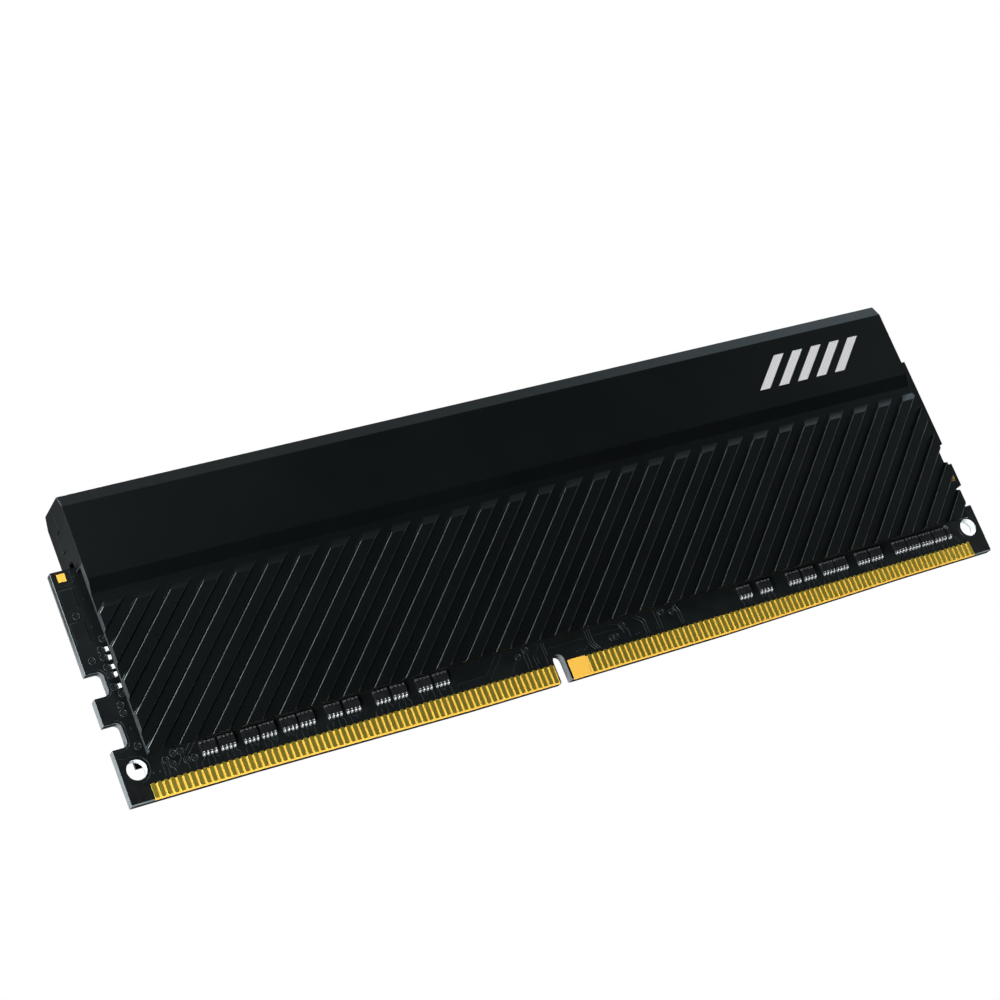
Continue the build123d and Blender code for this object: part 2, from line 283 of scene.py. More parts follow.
def anodised():
    """Black anodised aluminium, with painted light that makes the end faces below the end caps lighter."""
    material, tree, shader = new_material("anodised_black")
    mottle = noise(tree, 9.0, 3.0)
    at_surface = mottled(tree, mottle, BLACK_METAL, BLACK_METAL_WORN)
    end_face = math_node(tree, "GREATER_THAN", facing(tree, "X"), 0.97)
    below = math_node(tree, "LESS_THAN", object_axis(tree, "Z"), PAINTED_LIGHT_TOP * MM)
    # painted light on the end faces below the end caps
    painted_light_ends = math_node(tree, "MULTIPLY", end_face, below)
    tree.links.new(mixed(tree, painted_light_ends, at_surface, PAINTED_LIGHT_END_TONE), shader.inputs["Base Color"])
    tree.links.new(uneven(tree, mottle, 0.345, 0.375), shader.inputs["Roughness"])
    shader.inputs["IOR"].default_value = 1.5
    shader.inputs["Specular Tint"].default_value = (*BLUE_BLACK, 1)
    bump(tree, shader, noise(tree, 0.09), 0.10)
    return material


def faced_tin():
    """Tin terminal, bright on its outer face, with painted shade darkening every other face."""
    material, tree, shader = new_material("end_terminal")
    mottle = noise(tree, 0.4, 3.0)
    # painted shade on the terminal's other faces
    sides = mottled(tree, mottle, SHADED_TIN_SIDE, SHADED_TIN_SIDE_PALE)
    tree.links.new(mixed(tree, square_to(tree, "Y"), sides, TIN_FACE), shader.inputs["Base Color"])
    tree.links.new(uneven(tree, mottle, 0.30, 0.45), shader.inputs["Roughness"])
    bump(tree, shader, noise(tree, 0.08), 0.2)
    return material


def laminate():
    """Glass-fibre board, black on both faces.

    The cut edges are dark with a painted highlight line at each face. In the board's lower part, painted
    light makes the edges that look sideways pale all over.
    """
    material, tree, shader = new_material("board_laminate")
    layers = noise(tree, 0.12, 2.0, (0.15, 1.0, 0.15))
    core = mottled(tree, layers, CORE, CORE_LIGHT)
    from_middle = math_node(tree, "ABSOLUTE", object_axis(tree, "Y"))
    line = BOARD_FACE - EDGE_HIGHLIGHT_DEPTH
    # painted highlight: a pale band at each face of the cut edges
    at_surface = span(tree, from_middle, (line - EDGE_HIGHLIGHT_FADE) * MM, line * MM)
    edge = mixed(tree, at_surface, core, EDGE_HIGHLIGHT_TONE)
    # painted light: in the board's lower part, sideways cut edges are made pale
    lower = span(tree, object_axis(tree, "Z"), PAINTED_LIGHT_HIGH * MM, PAINTED_LIGHT_LOW * MM)
    sideways = span(tree, facing(tree, "X"), 0.3, 0.8)
    edge = mixed(tree, math_node(tree, "MULTIPLY", lower, sideways), edge, PAINTED_LIGHT_EDGE)
    color = mixed(tree, square_to(tree, "Y"), edge, BOARD_BLACK)
    tree.links.new(color, shader.inputs["Base Color"])
    tree.links.new(uneven(tree, layers, 0.35, 0.5), shader.inputs["Roughness"])
    bump(tree, shader, layers, 0.3)
    return material


def dotted(name, color, dot_color, pitch_mm):
    """Silver print with a fine pattern of darker dots."""
    material, tree, shader = new_material(name)
    place = tree.nodes.new("ShaderNodeTexCoord")
    mapping = tree.nodes.new("ShaderNodeMapping")
    mapping.inputs["Rotation"].default_value = (0, math.radians(45), 0)
    cells = tree.nodes.new("ShaderNodeTexVoronoi")
    cells.inputs["Scale"].default_value = 1.0 / (pitch_mm * MM)
    cells.inputs["Randomness"].default_value = 0.0
    tree.links.new(place.outputs["Object"], mapping.inputs["Vector"])
    tree.links.new(mapping.outputs["Vector"], cells.inputs["Vector"])
    tones = ramp(tree, cells.outputs["Distance"], 0.15, 0.40, dot_color, color)
    tree.links.new(tones, shader.inputs["Base Color"])
    tree.links.new(uneven(tree, noise(tree, 0.4), 0.38, 0.50), shader.inputs["Roughness"])
    shader.inputs["Metallic"].default_value = 0.2
    bump(tree, shader, cells.outputs["Distance"], 0.25, 0.02)
    return material


def dress(node, material):
    """Gives a CAD node one material."""
    data = nodes[node].data
    data.materials.clear()
    data.materials.append(material)


def dress_all(made):
    """The record's material slots give each CAD node its material; some terminals have their own."""
    by_slot = {
        "spreader": "spreader", "laminate": "laminate", "solder_mask": "mask", "gold": "base_gold",
        "chip_package": "chip", "thermal_pad": "thermal_pad", "tin": "tin", "ceramic": "ceramic",
        "resistor_body": "resistor", "emblem": "emblem",
    }
    for part in frame["record"]["subparts"]:
        dress(part["node"], made[by_slot[part["material_slot"]]])
    # these terminals get the dark tin that stands in for shade
    for word in ("resistor_array_terminals_front", "resistor_array_terminals_back",
                 "corner_resistor_terminals"):
        dress(word, made["array_tin"])
    dress("end_resistor_terminals", made["end_tin"])


EDGE_ROUND = 0.05
WELD_REACH = 0.0005
FLAT_ANGLE = 0.5      # faces closer than this to one plane are joined, degrees
SHARP_ANGLE = 20      # edges sharper than this are rounded, degrees


def round_edges(node):
    """Small rounding on the sharp edges of one CAD node."""
    piece = nodes[node]
    weld = piece.modifiers.new("weld", "WELD")
    weld.merge_threshold = WELD_REACH * MM
    flat = piece.modifiers.new("flat_faces", "DECIMATE")
    flat.decimate_type = "DISSOLVE"
    flat.angle_limit = math.radians(FLAT_ANGLE)
    edge = piece.modifiers.new("edges", "BEVEL")
    edge.width = EDGE_ROUND * MM
    edge.segments = 3
    edge.limit_method = "ANGLE"
    edge.angle_limit = math.radians(SHARP_ANGLE)
    edge.use_clamp_overlap = False
    edge.miter_outer = "MITER_ARC"


# ---- rings of points ----
def ring_points(radius, height, count):
    """Points (across, up, height) on a circle."""
    turns = [2 * math.pi * i / count for i in range(count)]
    return [(radius * math.cos(turn), radius * math.sin(turn), height) for turn in turns]


def band(a, b, count):
    """Faces between two rings of count points that start at a and at b."""
    return [(a + i, a + (i + 1) % count, b + (i + 1) % count, b + i) for i in range(count)]


# ---- studio ----
FLOOR_Z = -0.6
FLOOR_RADIUS = 3.0
FLOOR_WHITE = 0.93
BACKDROP_WHITE = 1.0


def stage_piece(name, verts, faces, material):
    """Piece of the studio that only the camera sees."""
    mesh = bpy.data.meshes.new(name)
    mesh.from_pydata(verts, [], faces)
    mesh.materials.append(material)
    piece = bpy.data.objects.new(name, mesh)
    bpy.context.scene.collection.objects.link(piece)
    piece.visible_glossy = False
    piece.visible_diffuse = False
    piece.visible_transmission = False
    piece.visible_shadow = False


def glow(name, strength):
    """White that gives off light evenly."""
    material = bpy.data.materials.new(name)
    material.use_nodes = True
    tree = material.node_tree
    tree.nodes.clear()
    output = tree.nodes.new("ShaderNodeOutputMaterial")
    light = tree.nodes.new("ShaderNodeEmission")
    light.inputs["Strength"].default_value = strength
    tree.links.new(light.outputs["Emission"], output.inputs["Surface"])
    return material


def make_stage():
    """White floor below the object and a white dome round it."""
    count = 48
    rings = 8
    rim = ring_points(FLOOR_RADIUS, FLOOR_Z, count)
    stage_piece("floor", rim, [tuple(range(count))], glow("floor_white", FLOOR_WHITE))
    verts = []
    for ring in range(rings + 1):
        angle = math.pi / 2 * ring / rings
        height = FLOOR_Z + FLOOR_RADIUS * math.sin(angle)
        verts += ring_points(FLOOR_RADIUS * math.cos(angle), height, count)
    faces = []
    for ring in range(rings):
        faces += band(ring * count, (ring + 1) * count, count)
    stage_piece("backdrop", verts, faces, glow("backdrop_white", BACKDROP_WHITE))


# Soft lights: name, turn from -Y towards +X in degrees, height in degrees, watts.
LIGHTS = [
    ("back_top", 180, 55, 10.0),
    ("back_high", 190, 65, 3.8),
    ("left_top", 270, 55, 8.4),
    ("left_high", 262, 72, 3.0),
    ("left_front_low", 300, -20, 8.6),
    ("front_below", 315, -35, 3.3),
    ("left_back", 240, 5, 1.7),
    ("back_low", 180, 5, 0.65),
    ("front_fill", 0, 30, 0.37),
    ("right_high", 95, 42, 0.50),
    ("right_upper", 75, 40, 0.30),
    ("right_front", 62, 15, 0.25),
    ("front_right_top", 45, 55, 0.15),
    ("overhead", 0, 80, 0.13),
    ("right_low", 60, 5, 0.10),
    ("right_edge", 86, -9, 1.0),
]
COOL_LIGHTS = {"right_high", "right_upper", "right_edge"}
COOL = (0.88, 1.0, 1.06)
LIGHT_DISTANCE = 0.8    # metres, from the object's middle
LIGHT_SIZE = 0.35       # metres, side of the square
WORLD_STRENGTH = 0.002


def area_light(name, direction, power):
    """Soft square light that stands in a direction from the object's middle and faces it."""
    data = bpy.data.lights.new(name, "AREA")
    data.size = LIGHT_SIZE
    data.energy = power
    light = bpy.data.objects.new(name, data)
    bpy.context.scene.collection.objects.link(light)
    middle = (cad_low + cad_high) / 2
    toward = Vector(direction).normalized()
    light.location = middle + toward * LIGHT_DISTANCE
    light.rotation_mode = "QUATERNION"
    light.rotation_quaternion = toward.to_track_quat("Z", "Y")
    light.visible_camera = False
    if name in COOL_LIGHTS:
        data.color = COOL


def make_lights():
    """The soft lights, and a faint even light from the world."""
    for name, turn, height, power in LIGHTS:
        turn = math.radians(turn)
        height = math.radians(height)
        flat = math.cos(height)
        direction = (flat * math.sin(turn), -flat * math.cos(turn), math.sin(height))
        area_light(name, direction, power)
    world = bpy.data.worlds.new("world")
    bpy.context.scene.world = world
    world.use_nodes = True
    world.node_tree.nodes["Background"].inputs["Strength"].default_value = WORLD_STRENGTH


# ---- mesh helpers: pieces on the board's faces ----
BEVEL_DROP = 0.6      # a bevel's height for its width
MITRE_LIMIT = 0.35    # keeps a mitred corner from running away where an outline turns sharply
PATH_LIMIT = 0.5      # the same for a path


class Shape:
    """Vertices and faces of one piece. Points are (x, height out from Y = 0, z), in millimetres."""

    def __init__(self):
        self.verts = []
        self.faces = []

    def add(self, points, faces):
        start = len(self.verts)
        self.verts += [(x, -h, z) for x, h, z in points]
        self.faces += [tuple(start + i for i in face) for face in faces]

    def plate(self, outline, low, high, bevel):
        """Raised plate over an outline of (x, z) points, counter-clockwise, with bevelled upper edges."""
        count = len(outline)
        inner = inset(outline, bevel)
        points = [(x, low, z) for x, z in outline]
        points += [(x, high - bevel * BEVEL_DROP, z) for x, z in outline]
        points += [(x, high, z) for x, z in inner]
        faces = band(0, count, count) + band(count, 2 * count, count)
        faces.append(tuple(2 * count + i for i in range(count)))
        faces.append(tuple(reversed(range(count))))
        self.add(points, faces)

    def lathe(self, x, z, profile, segments):
        """Round feature about an axis square to the board: profile is (radius, height), outside first."""
        points = []
        for radius, height in profile:
            ring = ring_points(radius, height, segments)
            points += [(x + across, out, z + up) for across, up, out in ring]
        faces = []
        for ring in range(len(profile) - 1):
            faces += band(ring * segments, (ring + 1) * segments, segments)
        faces.append(tuple((len(profile) - 1) * segments + i for i in range(segments)))
        faces.append(tuple(reversed(range(segments))))
        self.add(points, faces)

    def trace(self, path, width, low, high):
        """Copper track under the mask: a low ridge along a path of (x, z) points."""
        left, right = offset_path(path, width / 2)
        left_top, right_top = offset_path(path, width / 4)
        count = len(path)
        points = [(x, low, z) for x, z in left] + [(x, high, z) for x, z in left_top]
        points += [(x, high, z) for x, z in right_top] + [(x, low, z) for x, z in right]
        faces = []
        for ring in range(3):
            for i in range(count - 1):
                a, b = ring * count, (ring + 1) * count
                faces.append((a + i, b + i, b + i + 1, a + i + 1))
        for i in range(count - 1):
            faces.append((i, i + 1, 3 * count + i + 1, 3 * count + i))
        faces.append((0, 3 * count, 2 * count, count))
        last = count - 1
        faces.append((last, count + last, 2 * count + last, 3 * count + last))
        self.add(points, faces)

    def piece(self, name, material, slot, side="front"):
        """Makes the object: on the front as drawn, or turned half round about Z for the back."""
        sign = 1 if side == "front" else -1
        verts = [(sign * x * MM, sign * y * MM, z * MM) for x, y, z in self.verts]
        mesh = bpy.data.meshes.new(name)
        mesh.from_pydata(verts, [], self.faces)
        mesh.validate()
        mesh.materials.append(material)
        piece = bpy.data.objects.new(name, mesh)
        bpy.context.scene.collection.objects.link(piece)
        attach(piece, "root")
        return piece


def inset(outline, distance):
    """Outline moved inwards by distance; corners are mitred."""
    count = len(outline)
    result = []
    for i in range(count):
        before = Vector(outline[i - 1])
        here = Vector(outline[i])
        after = Vector(outline[(i + 1) % count])
        a = (here - before).normalized()
        b = (after - here).normalized()
        normal_a = Vector((-a.y, a.x))
        normal_b = Vector((-b.y, b.x))
        middle = normal_a + normal_b
        scale = distance / max(MITRE_LIMIT, middle.length_squared / 2)
        result.append(tuple(here + middle * scale))
    return result


def offset_path(path, distance):
    """The two lines beside an open path."""
    left, right = [], []
    for i, point in enumerate(path):
        here = Vector(point)
        a = (here - Vector(path[i - 1])).normalized() if i > 0 else None
        b = (Vector(path[i + 1]) - here).normalized() if i < len(path) - 1 else None
        a = a or b
        b = b or a
        normal = Vector((-a.y - b.y, a.x + b.x))
        normal = normal / max(PATH_LIMIT, normal.length_squared / 2)
        left.append(tuple(here + normal * distance))
        right.append(tuple(here - normal * distance))
    return left, right


def arc(x, z, radius, start, end, steps):
    """Points on a circle between two angles in degrees."""
    turns = [math.radians(start + (end - start) * i / steps) for i in range(steps + 1)]
    return [(x + radius * math.cos(turn), z + radius * math.sin(turn)) for turn in turns]


# ---- connector contacts ----
PITCH = 0.85
PAD_WIDTH = 0.62
PAD_TOP = 2.70
CROWN = 0.155                     # height of a contact's rounded upper end
CROWN_STEPS = 8
PAD_BEVEL = 0.045
PAD_CORNER = 0.06
PAD_GAP = 0.03                    # from a contact's lower end to the bevel of the connector edge
PAD_FACE = BOARD_FACE + 0.055
BASE_FACE = BOARD_FACE + 0.012
BASE_TOP = 2.52
BASE_PAST_KEY = 0.14              # how far the short group's gold layer runs on towards the key slot
EDGE_BEVEL = 0.15
BOW = [(-BOARD_END, 0.60), (-50.0, 0.50), (-20.0, 0.0), (20.0, 0.0), (50.0, 0.50), (BOARD_END, 0.60)]


def bow(x):
    """Height of the connector edge at x."""
    for (x0, z0), (x1, z1) in zip(BOW, BOW[1:]):
        if x0 <= x <= x1:
            return z0 + (z1 - z0) * (x - x0) / (x1 - x0)
    return BOW[0][1]


def pad_outline(x):
    """Contact with a rounded upper end and slightly rounded lower corners."""
    half = PAD_WIDTH / 2
    low = bow(x) + EDGE_BEVEL + PAD_GAP
    inner = half - PAD_CORNER
    shoulder = PAD_TOP - CROWN
    points = [(x - inner, low), (x + inner, low), (x + half, low + PAD_CORNER)]
    for i in range(CROWN_STEPS + 1):
        turn = math.pi * i / CROWN_STEPS
        points.append((x + half * math.cos(turn), shoulder + CROWN * math.sin(turn)))
    points.append((x - half, low + PAD_CORNER))
    return points


def contact_pads(first, count, step):
    """A row of contacts, one step apart."""
    shape = Shape()
    for i in range(count):
        shape.plate(pad_outline(first + step * i), BOARD_FACE, PAD_FACE, PAD_BEVEL)
    return shape


def base_strip(left, right):
    """Gold layer under and between the contacts, folded over the bevel of the connector edge."""
    stops = sorted({left, right} | {x for x, z in BOW if left < x < right})
    lift = BASE_FACE - BOARD_FACE
    points = []
    for x in stops:
        low = bow(x)
        points += [(x, BOARD_FACE, BASE_TOP), (x, BASE_FACE, BASE_TOP - lift),
                   (x, BASE_FACE, low + EDGE_BEVEL), (x, BOARD_FACE - EDGE_BEVEL + lift, low),
                   (x, BOARD_FACE - EDGE_BEVEL, low), (x, BOARD_FACE, low + EDGE_BEVEL)]
    faces = []
    count = len(points) // len(stops)
    for stop in range(len(stops) - 1):
        faces += band(stop * count, (stop + 1) * count, count)
    faces.append(tuple(reversed(range(count))))
    faces.append(tuple((len(stops) - 1) * count + i for i in range(count)))
    shape = Shape()
    shape.add(points, faces)
    return shape


def mirrored(shape):
    """The same piece on the back of the board, at the same X."""
    other = Shape()
    other.verts = [(x, -y, z) for x, y, z in shape.verts]
    other.faces = [tuple(reversed(face)) for face in shape.faces]
    return other


def make_contacts(made):
    """Crowned pads in place of the CAD's contact groups, each group on one gold layer."""
    short_first = short_low.x + PAD_WIDTH / 2
    long_first = long_high.x - PAD_WIDTH / 2
    short_count = round((short_high.x - short_low.x - PAD_WIDTH) / PITCH) + 1
    long_count = round((long_high.x - long_low.x - PAD_WIDTH) / PITCH) + 1
    groups = {
        "short": (contact_pads(short_first, short_count, PITCH),
                  base_strip(short_low.x, short_high.x + BASE_PAST_KEY)),
        "long": (contact_pads(long_first, long_count, -PITCH),
                 base_strip(key_low.x, long_high.x)),
    }
    for word, (pads, strip) in groups.items():
        for side in ("front", "back"):
            shape = pads if side == "front" else mirrored(pads)
            piece = shape.piece(f"contact_pads_{side}_{word}", made["pad_gold"], "gold")
            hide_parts(f"contacts_{side}_{word}_group")
            shape = strip if side == "front" else mirrored(strip)
            shape.piece(f"contact_base_{side}_{word}", made["base_gold"], "gold")


# ---- copper under the mask: rings, tracks and areas that stand slightly proud ----
RELIEF = 0.06
RING = [(0.52, 0.0), (0.46, RELIEF), (0.40, RELIEF), (0.33, 0.006), (0.30, 0.006), (0.20, 0.038),
        (0.13, 0.038), (0.08, 0.004)]     # radius and height over the mask, outside first
DOT = [(0.14, 0.0), (0.10, 0.03), (0.04, 0.03)]
RING_SEGMENTS = 20
DOT_SEGMENTS = 12
SUNK = 0.001                              # how far lines and fields reach into the mask
AREA_BEVEL = 0.10

# Places (x, z) on a face, drawn as on the front: at the left end, then along the connector.
END_RINGS = [(-65.27, 25.14), (-65.27, 19.19), (-63.77, 20.28), (-63.77, 19.28), (-63.77, 17.96),
             (-63.77, 16.93), (-63.77, 15.34), (-63.77, 12.96), (-63.77, 11.93), (-63.48, 7.52),
             (-63.12, 21.60), (-63.12, 14.34)]
END_DOTS = [(-63.86, 30.14), (-63.70, 27.00), (-63.86, 23.40), (-63.50, 9.93)]
END_AREAS = [(-66.50, -64.50, 26.20, 28.80), (-66.50, -64.50, 21.40, 24.40)]
END_LINES = [
    [(-66.55, 29.15), (-64.45, 29.15)],
    [(-64.90, 29.40), (-64.20, 29.40), (-64.20, 31.10)],
]
LOWER_RINGS = [(-60.76, 4.93), (-60.10, 4.22), (-59.62, 5.50), (-58.67, 5.50), (-58.19, 4.22), (-57.19, 4.22),
               (-11.14, 4.96), (-9.80, 5.60), (3.00, 3.96), (3.60, 3.96), (5.10, 5.20), (11.50, 5.42),
               (13.07, 5.10)]
LOWER_DOTS = [(-62.71, 3.79), (-61.88, 3.79), (-2.60, 3.55), (-2.00, 3.70), (-1.45, 3.45), (-1.00, 3.75),
              (6.70, 3.50), (7.20, 3.60), (10.00, 3.50), (62.60, 3.30)]
LOWER_LINES = [
    [(-61.33, 2.95), (-61.33, 4.70), (-61.05, 4.95)],
    [(-60.76, 2.95), (-60.76, 4.50)],
    [(-59.86, 3.50), (-58.80, 4.60), (-58.80, 5.05)],
    [(-58.45, 4.85), (-57.20, 6.10)],
    [(-57.90, 4.70), (-56.50, 6.10)],
    [(-59.90, 2.95), (-59.90, 3.40), (-60.10, 3.80)],
    [(-58.20, 2.95), (-58.20, 3.75)],
    [(-57.35, 2.95), (-57.19, 3.75)],
    [(-21.30, 3.00), (-20.40, 3.77), (-16.40, 3.77), (-14.20, 5.95)],
    [(-16.00, 3.10), (-15.80, 3.40), (-13.25, 5.95)],
    [(-12.60, 2.95), (-12.35, 3.70), (-11.45, 4.65)],
    [(-10.24, 3.00), (-10.24, 5.95)],
    [(-9.72, 3.00), (-9.72, 5.15)],
    [(-9.00, 3.00), (-9.00, 4.40), (-7.80, 5.60), (-7.80, 5.95)],
    [(-8.55, 3.30), (-8.55, 4.20)],
    [(-7.33, 3.00), (-7.33, 5.95)],
    [(-6.98, 4.10), (-6.98, 5.95)],
    [(-6.60, 4.96), (-0.75, 4.96)],
    [(0.45, 4.96), (4.60, 4.96), (4.98, 4.60), (4.98, 4.10)],
    [(-0.55, 5.95), (-0.55, 3.90), (0.05, 3.10)],
    [(-0.19, 5.95), (-0.19, 3.95), (0.45, 3.10)],
    [(0.17, 5.95), (0.17, 4.00), (0.85, 3.10)],
    [(3.40, 5.75), (4.50, 5.50), (5.70, 4.50), (5.80, 3.30)],
    [(7.10, 5.75), (8.00, 5.10), (8.24, 4.60), (8.24, 3.10)],
    [(7.60, 5.95), (8.55, 5.20), (8.67, 4.80), (8.67, 3.10)],
    [(10.38, 5.95), (10.38, 3.10)],
    [(10.86, 5.95), (10.86, 3.10)],
    [(13.45, 5.80), (13.80, 5.00), (13.90, 3.10)],
    [(13.85, 5.90), (14.26, 4.90), (14.26, 3.10)],
    [(62.20, 5.90), (61.40, 5.10), (61.40, 4.40), (62.50, 3.50)],
    [(61.50, 4.05), (62.20, 3.10)],
]

LINE_WIDTH = 0.17
LINE_RISE = 0.6 * RELIEF
OUTLINE_WIDTH = 0.14
FAN_WIDTH = 0.15
HOLE_X = 64.60
HOLE_Z = 4.75
HOLE_RING = 1.72
HOLE_LINE = 6.72                          # height of the line from the hole's outline to the board's end
NOTCHES = [9.40, 16.10]
NOTCH_DEPTH = 2.10
NOTCH_HEIGHT = 3.20
NOTCH_CORNER = 0.75
NOTCH_LINE = 0.34                         # from a notch to the line round it
END_GAP = 0.1                             # where these lines stop short of the board's end


def relief_spot(shape, x, z, profile, segments):
    """Round copper feature on the mask."""
    shape.lathe(x, z, [(radius, MASK_FACE + height) for radius, height in profile], segments)


def relief_line(shape, path, width=LINE_WIDTH):
    """Copper track along a path."""
    shape.trace(path, width, MASK_FACE - SUNK, MASK_FACE + LINE_RISE)


def end_relief(shape, end):
    """Outlines round the notches and the corner hole at one end (-1 left, +1 right)."""
    edge = BOARD_END - END_GAP
    corner = NOTCH_CORNER + NOTCH_LINE
    middle_x = BOARD_END - NOTCH_DEPTH - NOTCH_LINE + corner
    for middle in NOTCHES:
        top = middle + NOTCH_HEIGHT / 2 + NOTCH_LINE
        low = middle - NOTCH_HEIGHT / 2 - NOTCH_LINE
        path = [(edge, low)]
        path += arc(middle_x, low + corner, corner, 270, 180, 6)
        path += arc(middle_x, top - corner, corner, 180, 90, 6)
        path.append((edge, top))
        relief_line(shape, [(end * x, z) for x, z in path], OUTLINE_WIDTH)
    path = [(edge, HOLE_LINE)]
    path += arc(HOLE_X, HOLE_Z, HOLE_RING, 66, 262, 22)
    relief_line(shape, [(end * x, z) for x, z in path], OUTLINE_WIDTH)


def islands(node):
    """Boxes of the separate bodies in one CAD node, in millimetres."""
    mesh = nodes[node].data
    keys = [tuple(round(c / MM, 3) for c in nodes[node].matrix_world @ v.co) for v in mesh.vertices]
    group = {}

    def root(key):
        while group.setdefault(key, key) != key:
            key = group[key]
        return key

    for face in mesh.polygons:
        first = root(keys[face.vertices[0]])
        for index in face.vertices[1:]:
            group[root(keys[index])] = first
    boxes = {}
    for key in keys:
        boxes.setdefault(root(key), set()).add(key)
    result = []
    for points in boxes.values():
        low = Vector([min(p[i] for p in points) for i in range(3)])
        high = Vector([max(p[i] for p in points) for i in range(3)])
        result.append((low, high))
    return sorted(result, key=lambda box: (box[0].x, box[0].z))


def placed(box, side):
    """Box drawn as on the front: (left, right, bottom, top, height of its outer face)."""
    low, high = box
    if side == "front":
        return low.x, high.x, low.z, high.z, -low.y
    return -high.x, -low.x, low.z, high.z, high.y


def centre(box):
    """Middle (x, z) of a placed box."""
    left, right, bottom, top = box[:4]
    return (left + right) / 2, (bottom + top) / 2


def outward(terminal, bodies):
    """Unit step (x, z) from the nearest body to its terminal. Heights count half in what is nearest."""
    x, z = centre(terminal)

    def distance(body):
        body_x, body_z = centre(body)
        return abs(x - body_x) + 0.5 * abs(z - body_z)

    nearest = min(bodies, key=distance)
    near_x, near_z = centre(nearest)
    if nearest[0] < x < nearest[1]:
        return 0, (1 if z > near_z else -1)
    return (1 if x > near_x else -1), 0


# Solder beside a terminal: distance out from it, and height as a share of the terminal's.
FILLET = [(0.0, 0.80), (0.04, 0.55), (0.09, 0.34), (0.15, 0.18), (0.22, 0.07), (0.27, 0.02)]
FILLET_TAPER = 0.25
DROP = [(1.0, 0.0), (0.92, 0.45), (0.70, 0.80), (0.35, 1.0)]    # shares of a drop's radius and height
DROP_SEGMENTS = 10
BODY_DROP = 0.068     # radius of the drop beside the body
HIDDEN_DROP = 0.05    # the same on an upper terminal
BODY_RISE = 0.03
BODY_SHIFT = 0.05     # in from the terminal's end
BODY_SUNK = 0.01
FOOT_DROP = 0.112     # radius of the drop at the foot
FOOT_RISE = 0.045
FOOT_SHIFT = 0.02
FOOT_SUNK = 0.03


def solder_fillet(shape, terminal, step):
    """Concave solder between a terminal's outer face and the board."""
    left, right, bottom, top, face = terminal
    height = face - MASK_FACE
    upper = []
    for reach, lift in FILLET:
        narrow = FILLET_TAPER * reach
        h = MASK_FACE + height * lift
        if step[0] == 0:
            z = (top if step[1] > 0 else bottom) + step[1] * reach
            upper += [(left + narrow, h, z), (right - narrow, h, z)]
        else:
            x = (right if step[0] > 0 else left) + step[0] * reach
            upper += [(x, h, bottom + narrow), (x, h, top - narrow)]
    lower = [(x, MASK_FACE, z) for x, h, z in upper]
    base = len(upper)
    faces = []
    for a in range(0, base - 2, 2):
        faces.append((a, a + 1, a + 3, a + 2))
        faces.append((a, a + 2, base + a + 2, base + a))
        faces.append((a + 1, base + a + 1, base + a + 3, a + 3))
        faces.append((base + a, base + a + 2, base + a + 3, base + a + 1))
    last = base - 2
    faces.append((0, base, base + 1, 1))
    faces.append((last, last + 1, base + last + 1, base + last))
    if step[0] + step[1] > 0:
        faces = [tuple(reversed(face)) for face in faces]
    shape.add(upper + lower, faces)


def solder_drop(shape, x, z, low, radius, rise):
    """Rounded drop of solder standing on a face at height low."""
    profile = [(radius * out, low + rise * up) for out, up in DROP]
    shape.lathe(x, z, profile, DROP_SEGMENTS)


def solder_drops(shape, terminal, up):
    """A small drop beside the body and, on a lower terminal, a larger one at its foot."""
    left, right, bottom, top, face = terminal
    x = (left + right) / 2
    if up > 0:
        solder_drop(shape, x, bottom + BODY_SHIFT, face - BODY_SUNK, HIDDEN_DROP, BODY_RISE)
        return
    solder_drop(shape, x, top - BODY_SHIFT, face - BODY_SUNK, BODY_DROP, BODY_RISE)
    solder_drop(shape, x - FOOT_SHIFT, bottom - FOOT_SHIFT, face - FOOT_SUNK, FOOT_DROP, FOOT_RISE)


TERMINALS = {
    "front": [("resistor_array_terminals_front", "resistor_arrays_front"),
              ("end_resistor_terminals", "end_resistors"),
              ("corner_resistor_terminals", "corner_resistor"),
              ("capacitor_terminals_front", "capacitors_front")],
    "back": [("resistor_array_terminals_back", "resistor_arrays_back"),
             ("capacitor_terminals_back", "capacitors_back")],
}


def nearest_contact(x):
    """Middle of the contact nearest to x."""
    if x < key_low.x:
        first = short_low.x + PAD_WIDTH / 2
        step = PITCH
    else:
        first = long_high.x - PAD_WIDTH / 2
        step = -PITCH
    return first + step * round(abs(x - first) / PITCH)


FAN_START = 0.20      # from a terminal's lower end to its track
FAN_RUN = 0.28        # straight run before the track turns
FAN_REACH = 0.75      # furthest that a track goes sideways
FAN_SLOPE = 0.7       # fall of a track for each millimetre sideways
FAN_FALL = 0.01       # least fall, on a track that goes straight down
FAN_STOP = 0.16       # from a track's lower end to the contacts
FAN_PERIOD = 2.4      # the tracks spread from points this far apart
FAN_SPREAD = 0.4


def fan_out(shape, terminal):
    """Track from an array's lower terminal to a contact below it."""
    x = centre(terminal)[0]
    start = terminal[2] - FAN_START
    turn = start - FAN_RUN
    off_middle = x - round(x / FAN_PERIOD) * FAN_PERIOD
    target = nearest_contact(x + off_middle * FAN_SPREAD)
    across = max(-FAN_REACH, min(FAN_REACH, target - x))
    after = turn - abs(across) * FAN_SLOPE - FAN_FALL
    path = [(x, start), (x, turn), (x + across, after), (x + across, PAD_TOP + FAN_STOP)]
    relief_line(shape, path, FAN_WIDTH)


def copper_marks(side):
    """Rings, dots, lines and outlines on one face. The back has only those near its ends."""
    front = side == "front"
    shape = Shape()
    for x, z in END_RINGS + (LOWER_RINGS if front else []):
        relief_spot(shape, x, z, RING, RING_SEGMENTS)
    for x, z in END_DOTS + (LOWER_DOTS if front else []):
        relief_spot(shape, x, z, DOT, DOT_SEGMENTS)
    for path in END_LINES + (LOWER_LINES if front else []):
        relief_line(shape, path)
    for end in (-1, 1):
        end_relief(shape, end)
    return shape


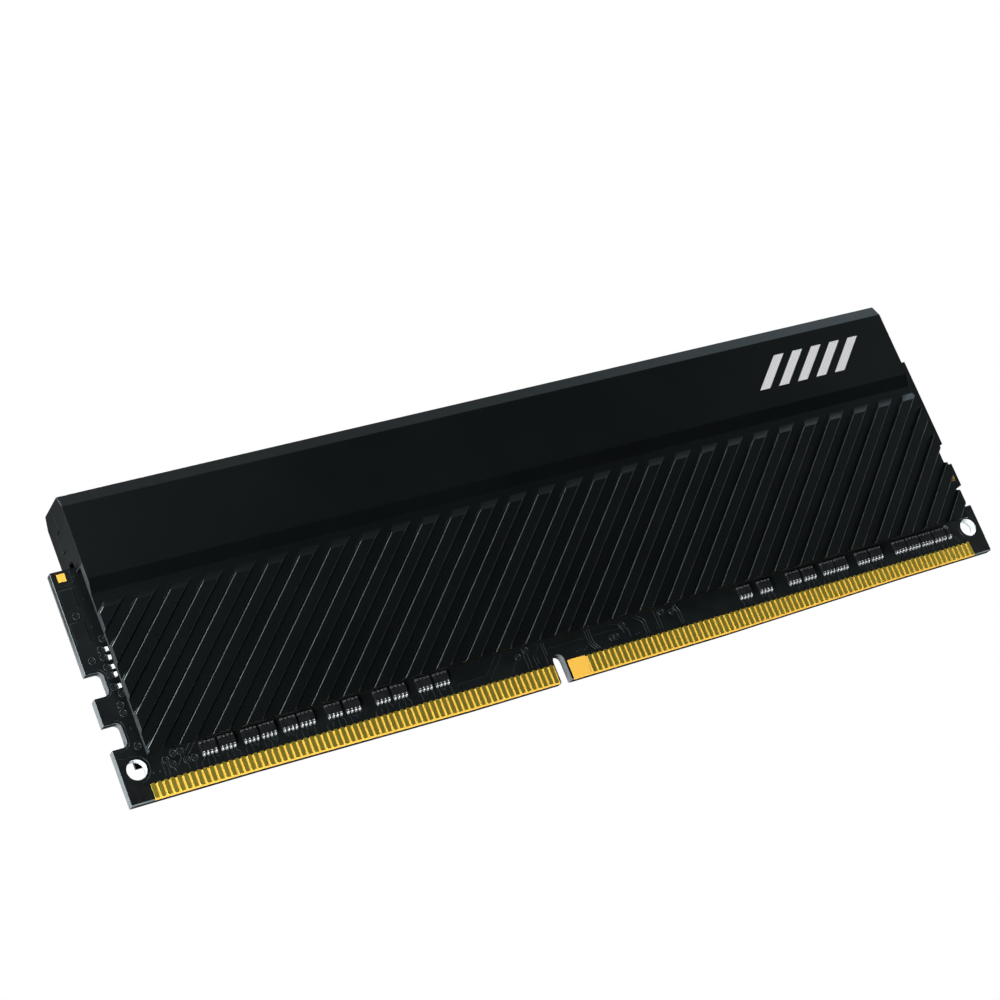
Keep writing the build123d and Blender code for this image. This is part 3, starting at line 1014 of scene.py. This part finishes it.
def copper_areas():
    """Wide raised fields at the left end."""
    shape = Shape()
    for left, right, low, high in END_AREAS:
        outline = [(left, low), (right, low), (right, high), (left, high)]
        shape.plate(outline, MASK_FACE - SUNK, MASK_FACE + RELIEF, AREA_BEVEL)
    return shape


def solder_and_tracks(side, copper):
    """Solder of one face: fillets and upper drops darkened as painted shade, and bright lower drops. The
    arrays' tracks are added to the copper.
    """
    shaded_solder = Shape()
    bright = Shape()
    for terminal_node, body_node in TERMINALS[side]:
        array = body_node.startswith("resistor_arrays")
        bodies = [placed(box, side) for box in islands(body_node)]
        for box in islands(terminal_node):
            terminal = placed(box, side)
            step = outward(terminal, bodies)
            hidden = array and step[1] > 0
            if body_node != "end_resistors" and not hidden:
                solder_fillet(shaded_solder, terminal, step)
            if step[0] == 0 and not body_node.startswith("capacitors"):
                # upper drops take the solder darkened as painted shade; lower drops the bright tin
                solder_drops(bright if step[1] < 0 else shaded_solder, terminal, step[1])
            if array and step == (0, -1):
                fan_out(copper, terminal)
    return shaded_solder, bright


def make_relief(made):
    """Copper and solder on each face, four pieces a face."""
    for side in ("front", "back"):
        copper = copper_marks(side)
        shaded_solder, bright = solder_and_tracks(side, copper)
        copper.piece(f"copper_relief_{side}", made["relief"], "solder_mask", side)
        copper_areas().piece(f"copper_areas_{side}", made["mask"], "solder_mask", side)
        shaded_solder.piece(f"solder_fillets_{side}", made["solder"], "tin", side)
        bright.piece(f"solder_beads_{side}", made["tin"], "tin", side)


# ---- corner holes ----
HOLE_RADIUS = 1.30
WALL_GAP = 0.002      # from the hole to the wall's outer side
WALL = 0.010
WALL_STOP = 0.05      # from the wall's ends to the board's faces
WALL_SEGMENTS = 32


def make_hole_walls(made):
    """Pale drilled glass fibre inside the two corner holes."""
    outer = HOLE_RADIUS - WALL_GAP
    inner = outer - WALL
    depth = BOARD_FACE - WALL_STOP
    section = [(outer, -depth), (inner, -depth), (inner, depth), (outer, depth)]
    count = WALL_SEGMENTS
    for end, word in ((-1, "left"), (1, "right")):
        points = []
        for radius, height in section:
            ring = ring_points(radius, height, count)
            points += [(end * HOLE_X + across, out, HOLE_Z + up) for across, up, out in ring]
        faces = []
        for i in range(len(section)):
            faces += band(i * count, (i + 1) % len(section) * count, count)
        shape = Shape()
        shape.add(points, faces)
        shape.piece(f"hole_wall_{word}", made["drilled"], "laminate")


def main():
    make_camera()
    bpy.context.scene.view_settings.view_transform = "Standard"
    made = make_materials()
    dress_all(made)
    for side in ("front", "back"):
        round_edges(f"heat_spreader_{side}")
    make_contacts(made)
    make_relief(made)
    make_hole_walls(made)
    make_stage()
    make_lights()


main()
